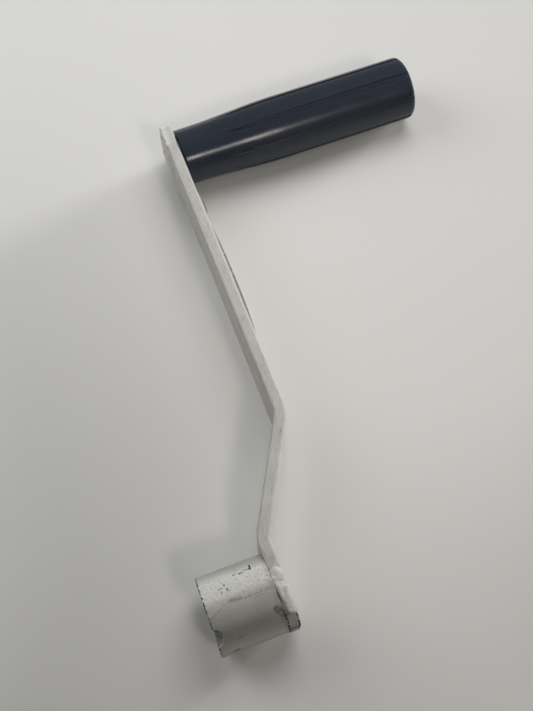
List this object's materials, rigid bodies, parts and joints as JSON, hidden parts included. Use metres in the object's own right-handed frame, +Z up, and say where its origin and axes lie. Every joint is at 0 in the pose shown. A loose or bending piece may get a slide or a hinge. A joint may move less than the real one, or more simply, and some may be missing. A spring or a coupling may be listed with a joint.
{
  "type": "hand crank",
  "caption": "Hand crank: a joggled flat-bar arm with a welded drive socket at one end and a free-turning plastic grip at the other.",
  "frame": {"origin": "middle of the base of the bounding box, with the crank lying flat on its socket and grip", "axes": "+Y along the arm from the socket to the grip, +X along the socket's and the grip's axes towards the grip's far end, +Z up"},
  "size_m": [0.1704, 0.2304, 0.0315],
  "materials": {
    "arm_paint": "satin light grey paint, scuffed along the edges",
    "socket_paint": "satin light grey paint, scratched",
    "weld_paint": "satin light grey paint over a rippled bead",
    "spindle_steel": "drawn bright bar",
    "washer_steel": "zinc plated",
    "spring_steel": "dark spring steel",
    "grip_plastic": "dark navy, moulded, semi-gloss",
    "cap_plastic": "dark navy, moulded, satin"
  },
  "bodies": {
    "crank": {"arm": "arm_paint", "socket_tube": "socket_paint", "socket_weld_upper": "weld_paint", "socket_weld_lower": "weld_paint", "spindle": "spindle_steel", "spindle_weld": "weld_paint", "thrust_washer": "washer_steel", "end_washer": "washer_steel", "push_nut": "spring_steel"},
    "grip": {"grip_sleeve": "grip_plastic", "end_cap": "cap_plastic"}
  },
  "joints": [
    {"name": "grip_spin", "type": "hinge", "parent": "crank", "child": "grip", "pos_m": [0, 0.10057, 0.01575], "axis": [1, 0, 0], "continuous": true}
  ]
}
